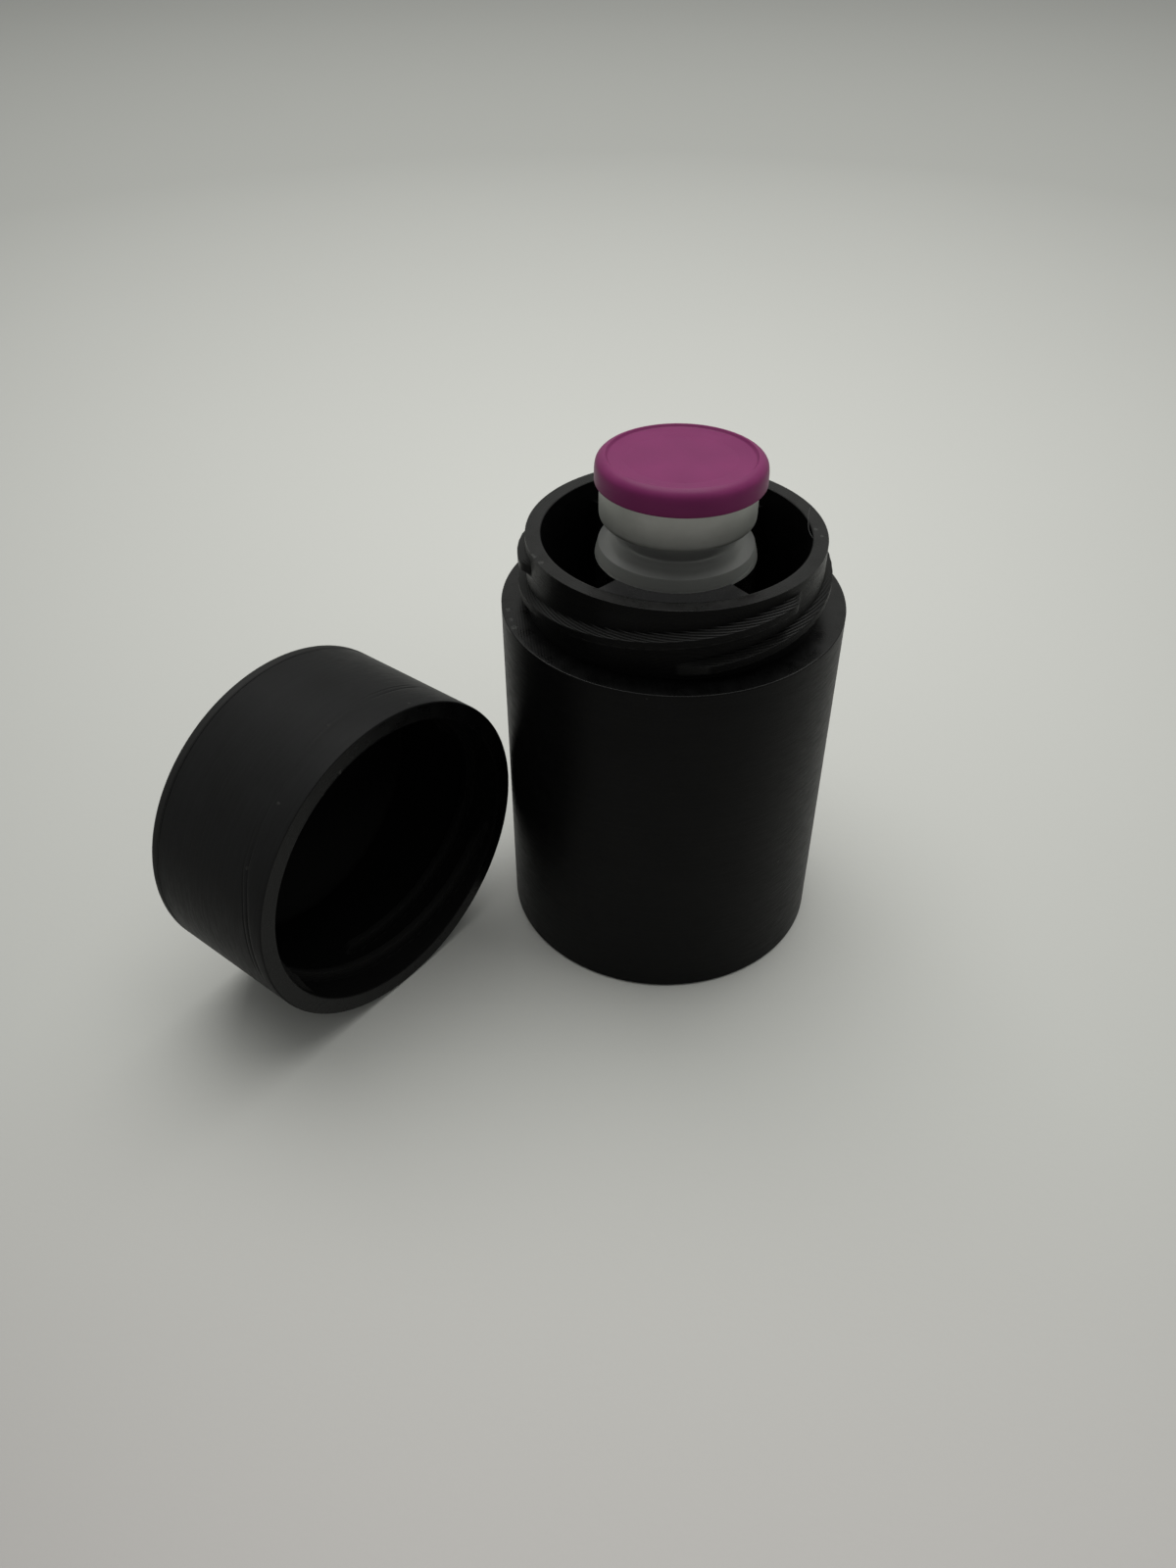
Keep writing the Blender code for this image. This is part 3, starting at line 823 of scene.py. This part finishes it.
def build_cap():
    """The printed cap, its mouth at its origin and its closed end along its own Z, laid down."""
    materials = [
        # The cap's outside: the same black print as the holder's walls, set several times lighter;
        # the difference is painted light.
        print_wall(
            "print_cap_black", grey(0.0092), grey(0.0120, -0.02), 0.05, 0.38, 0.52, CAP_SPOTS,
            near_closed_end,
        ),
        print_flat("print_mouth_black", grey(0.0018), grey(0.0042, -0.02), 0.22, MOUTH_SPOTS),
        # The bore: the cap's black print set far darker, painted shade inside, with painted light
        # on its lowest ridges.
        print_wall(
            "print_bore_painted_shade", grey(0.0014), grey(0.0022, -0.02), 0.07, 0.42, 0.52,
            pale_and_painted_light_where=low_inside_painted_light,
        ),
    ]
    wall, flat, inner = range(3)

    starts = [end - CAP_THREAD_TURN for end in CAP_THREAD_ENDS]
    angles = column_angles(CAP_THREAD_ENDS + starts)
    end_z = CAP_THREAD_START_Z + LEAD * CAP_THREAD_TURN / TAU

    def bore(depth):
        share = thread_share(angles, depth, CAP_THREAD_ENDS, end_z, CAP_THREAD_TURN)
        return CAP_BORE_RADIUS - THREAD_DEPTH * share

    turned = np.degrees(angles)
    line = np.interp(turned, GHOST_ANGLES, GHOST_DEPTHS, period=360) * MM
    sunk = np.interp(turned, GHOST_ANGLES, GHOST_SHARES, period=360) * GHOST_SINK
    mouth_edge = ((0, -0.35), (0.05, -0.09), (0.2, 0))
    mouth_outer = CAP_RADIUS - 0.2 * MM
    mouth_inner = CAP_BORE_RADIUS + 0.07 * MM
    parts = [
        (flat_rings(angles, (0, 8, 16, 22, 23.2, 23.6), CAP_LENGTH), flat),
        (edge_rings(angles, CAP_RADIUS, CAP_LENGTH, CAP_END_RINGS + CAP_GROOVE_RINGS), wall),
        ([ring_points(angles, CAP_RADIUS, z * MM) for z in (20.5, 18, 15, 12, 9, 7)], wall),
        ([
            ring_points(angles, CAP_RADIUS - share * sunk, line + off * MM)
            for off, share in GHOST_RINGS
        ], wall),
        (edge_rings(angles, CAP_RADIUS, 0, mouth_edge), wall),
        (laid_lines(angles, mouth_outer, mouth_inner, 0, -LINE_GROOVE), flat),
        ([ring_points(angles, CAP_BORE_RADIUS, 0.07 * MM)], inner),
        (layered(angles, 0.3 * MM, CAP_INNER_LENGTH, bore, -1, CAP_SEED, CAP_BEAD), inner),
        (flat_rings(angles, (21.43, 21.2, 20.4, 15, 8, 0), CAP_INNER_LENGTH), inner),
    ]
    cap = skin("cap_print", parts, materials)

    inward = Vector((-math.cos(CAP_AXIS_ANGLE), -math.sin(CAP_AXIS_ANGLE), 0))
    upward = Vector((0, 0, 1))
    across = upward.cross(inward)
    turn = Matrix((across, upward, inward)).transposed().to_4x4()
    contact = Vector((math.cos(CAP_CONTACT_ANGLE), math.sin(CAP_CONTACT_ANGLE), 0))
    mouth = contact * (JAR_RADIUS + GAP) + across * CAP_RADIUS
    mouth.z = CAP_RADIUS
    cap.matrix_world = Matrix.Translation(mouth) @ turn
    return cap


def build_glass():
    """The glass vial: crown, neck, stepped shoulder and straight body, hollow to its floor."""
    bottom = GLASS_BOTTOM_Z
    floor = bottom + 1.2 * MM
    haze = HAZE_BOTTOM_Z
    crown_bottom = CROWN_TOP_Z - CROWN_HEIGHT
    edge = RIM_Z - 1.42 * MM
    root = RIM_Z - 0.8 * MM
    profile = [
        (0, bottom + 0.5 * MM),
        (8.0 * MM, bottom + 0.5 * MM, 1 * MM),
        (8.8 * MM, bottom, 0.6 * MM),
        (GLASS_RADIUS, bottom, 1.4 * MM),
        (GLASS_RADIUS, haze - 0.5 * MM, 0.1 * MM),
        (GLASS_RADIUS - 0.12 * MM, haze - 0.1 * MM),
        (GLASS_RADIUS - 0.12 * MM, haze),
        (GLASS_RADIUS + 0.08 * MM, haze, 0.06 * MM),
        (GLASS_RADIUS + 0.08 * MM, haze + 0.1 * MM, 0.06 * MM),
        (GLASS_RADIUS, haze + 0.25 * MM, 0.06 * MM),
        (GLASS_RADIUS, SEAT_Z + 0.3 * MM, 0.2 * MM),
        (10.4 * MM, edge, 0.12 * MM),
        (9.05 * MM, root - 0.05 * MM, 0.12 * MM),
        (8.9 * MM, root + 0.04 * MM, 0.1 * MM),
        (GLASS_NECK_RADIUS, root + 0.6 * MM, 0.5 * MM),
        (GLASS_NECK_RADIUS, crown_bottom - 0.6 * MM, 0.4 * MM),
        (CROWN_RADIUS, crown_bottom + 0.3 * MM, 0.3 * MM),
        (CROWN_RADIUS, CROWN_TOP_Z, 0.3 * MM),
        (GLASS_MOUTH_RADIUS, CROWN_TOP_Z, 0.3 * MM),
        (GLASS_MOUTH_RADIUS, root, 0.6 * MM),
        (8.9 * MM, edge - GLASS_WALL, 0.5 * MM),
        (GLASS_RADIUS - GLASS_WALL, SEAT_Z - GLASS_WALL, 0.4 * MM),
        (GLASS_RADIUS - GLASS_WALL, floor, 1.3 * MM),
        (0, floor),
    ]

    def is_hazy(a, b):
        return int(a[1] + b[1] > 2 * haze - 0.1 * MM and max(a[0], b[0]) > 7 * MM)

    materials = [clear_glass(), hazy_glass()]
    return lathe(
        "vial_clear_glass", rounded(profile), materials, VIAL_SHIFT, surface_of=is_hazy
    )


def build_stopper():
    """The rubber stopper: flange over the crown and hollow plug in the neck."""
    bottom = CROWN_TOP_Z + GAP
    top = bottom + FLANGE
    core = bottom - 1.1 * MM
    foot = bottom - 6 * MM
    profile = [
        (0, core),
        (PLUG_CORE_RADIUS, core, 0.5 * MM),
        (PLUG_CORE_RADIUS, foot, 0.2 * MM),
        (PLUG_RADIUS, foot, 0.7 * MM),
        (PLUG_RADIUS, bottom, 0.2 * MM),
        (FLANGE_RADIUS, bottom, 0.5 * MM),
        (FLANGE_RADIUS, top, 0.5 * MM),
        (0, top),
    ]
    return lathe("stopper_rubber_plug", rounded(profile), [rubber()], VIAL_SHIFT)


def build_seal():
    """The aluminium seal: flat top with a hole, skirt and an edge rolled under the crown."""
    lip_top = CROWN_TOP_Z - 2.8 * MM
    lip_bottom = lip_top - SEAL_WALL
    inner = SEAL_RADIUS - SEAL_WALL
    under = SEAL_TOP_Z - SEAL_WALL
    profile = [
        (SEAL_HOLE_RADIUS, under),
        (SEAL_HOLE_RADIUS, SEAL_TOP_Z),
        (SEAL_RADIUS, SEAL_TOP_Z, 0.5 * MM),
        (SEAL_RADIUS, lip_bottom, 0.75 * MM),
        (SEAL_LIP_RADIUS, lip_bottom),
        (SEAL_LIP_RADIUS, lip_top),
        (inner, lip_top, 0.35 * MM),
        (inner, under, 0.3 * MM),
    ]
    return lathe("seal_crimped", rounded(profile), [aluminium()], VIAL_SHIFT, around=True)


def build_button():
    """The flip-off button: soft raised rim round a dished recess, thin skirt round the seal."""
    web_bottom = SEAL_TOP_Z + GAP
    web_top = web_bottom + 1.42 * MM
    dish = web_top - 0.22 * MM
    top = web_top + 0.34 * MM
    bottom = top - 3.46 * MM
    profile = rounded([
        (0, web_bottom),
        (BUTTON_BORE_RADIUS, web_bottom, 0.15 * MM),
        (BUTTON_BORE_RADIUS, bottom, 0.1 * MM),
        (BUTTON_RADIUS, bottom, 0.22 * MM),
        (BUTTON_RADIUS, bottom + 0.5 * MM),
    ])
    profile += [(BUTTON_RADIUS - inward * MM, top - down * MM) for down, inward in BUTTON_EDGE]
    recess = [
        (9.75 * MM, top, 0.1 * MM),
        (9.45 * MM, web_top, 0.3 * MM),
        (7.3 * MM, dish, 2 * MM),
        (0, dish),
    ]
    profile += rounded([profile[-1]] + recess, 8)[1:]
    made = lathe("button_violet", profile, [purple_plastic()], BUTTON_SHIFT)
    middle = Matrix.Translation((0, 0, web_bottom))
    made.data.transform(middle @ Matrix.Rotation(BUTTON_TILT, 4, "X") @ middle.inverted())
    return made


def build_string():
    """A hair of plastic left by the nozzle on the holder's rim."""
    line = bpy.data.curves.new("rim_string", "CURVE")
    line.dimensions = "3D"
    line.bevel_depth = 0.03 * MM
    line.bevel_resolution = 1
    line.use_fill_caps = True
    path = line.splines.new("BEZIER")
    path.resolution_u = 5
    path.bezier_points.add(len(STRING_PLACES) - 1)
    for point, place in zip(path.bezier_points, STRING_PLACES):
        point.co = [v * MM for v in place]
        point.handle_left_type = point.handle_right_type = "AUTO"
    curve = bpy.data.objects.new("rim_string", line)
    mesh = bpy.data.meshes.new_from_object(curve)
    bpy.data.objects.remove(curve)
    mesh.name = "rim_string"
    mesh.materials.append(string_grey())
    return show("rim_string", mesh)


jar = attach(build_jar(), "holder")
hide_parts("holder_jar")
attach(build_string(), "holder")
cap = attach(build_cap(), "cap")
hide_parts("screw_cap")
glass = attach(build_glass(), "vial")
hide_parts("vial_glass")
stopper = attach(build_stopper(), "vial")
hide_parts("stopper")
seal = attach(build_seal(), "vial")
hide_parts("crimp_seal")
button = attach(build_button(), "button")
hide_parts("flip_button")


# Stage

def build_floor():
    """Wide flat floor just under the object."""
    mesh = bpy.data.meshes.new("studio_floor")
    corners = [
        (x * FLOOR_HALF, y * FLOOR_HALF, FLOOR_Z) for x, y in ((-1, -1), (1, -1), (1, 1), (-1, 1))
    ]
    mesh.from_pydata(corners, [], [(0, 1, 2, 3)])
    mesh.materials.append(floor_paper())
    show("studio_floor", mesh)


def build_light():
    """A large soft light overhead, unseen by the camera."""
    data = bpy.data.lights.new("overhead", "AREA")
    data.shape = "RECTANGLE"
    data.size, data.size_y = OVERHEAD_SIZE
    data.energy = OVERHEAD_POWER
    data.color = OVERHEAD_COLOUR
    made = show("overhead", data)
    facing = Vector(OVERHEAD_TARGET) - Vector(OVERHEAD_PLACE)
    made.location = OVERHEAD_PLACE
    made.rotation_mode = "QUATERNION"
    made.rotation_quaternion = facing.to_track_quat("-Z", "Y")
    made.visible_camera = False


def build_world():
    """Soft light from all round, strongest from the back right.

    The camera, mirrors and glass see the pale backdrop instead.
    """
    world = bpy.data.worlds.new("studio")
    bpy.context.scene.world = world
    world.use_nodes = True
    tree = world.node_tree
    where = node(tree, "TexCoord", {}).outputs["Generated"]
    side = node(tree, "VectorMath", {0: where, 1: BRIGHT_SIDE}, operation="DOT_PRODUCT")
    side = side.outputs["Value"]
    shown = tree.nodes["Background"]
    feed(tree, shown, {
        "Color": BACKDROP,
        "Strength": spread(tree, side, BACKDROP_LOW, BACKDROP_HIGH, -0.6, 1.0),
    })
    light = node(tree, "Background", {
        "Color": LIGHT_COLOUR,
        "Strength": spread(tree, side, LIGHT_LOW, LIGHT_HIGH, -0.6, 1.0),
    })
    path = node(tree, "LightPath", {}).outputs
    seen = maths(tree, "MAXIMUM", path["Is Camera Ray"], path["Is Glossy Ray"])
    seen = maths(tree, "MAXIMUM", seen, path["Is Transmission Ray"])
    mixed = node(tree, "MixShader", {0: seen, 1: light.outputs[0], 2: shown.outputs[0]})
    feed(tree, tree.nodes["World Output"], {"Surface": mixed.outputs[0]})


def build_camera():
    """Camera solved from the photograph's circles and edges."""
    data = bpy.data.cameras.new("photo_camera")
    data.sensor_width = 36
    data.lens = CAMERA_LENS
    data.clip_start = 0.01
    data.clip_end = 20
    made = show("photo_camera", data)
    turn = Matrix.Rotation(CAMERA_HEADING, 4, "Z") @ Matrix.Rotation(CAMERA_PITCH, 4, "X")
    turn = turn @ Matrix.Rotation(CAMERA_ROLL, 4, "Z")
    made.matrix_world = Matrix.Translation(CAMERA_PLACE) @ turn
    bpy.context.scene.camera = made


build_floor()
build_world()
build_light()
build_camera()
scene = bpy.context.scene
scene.view_settings.view_transform = "Standard"
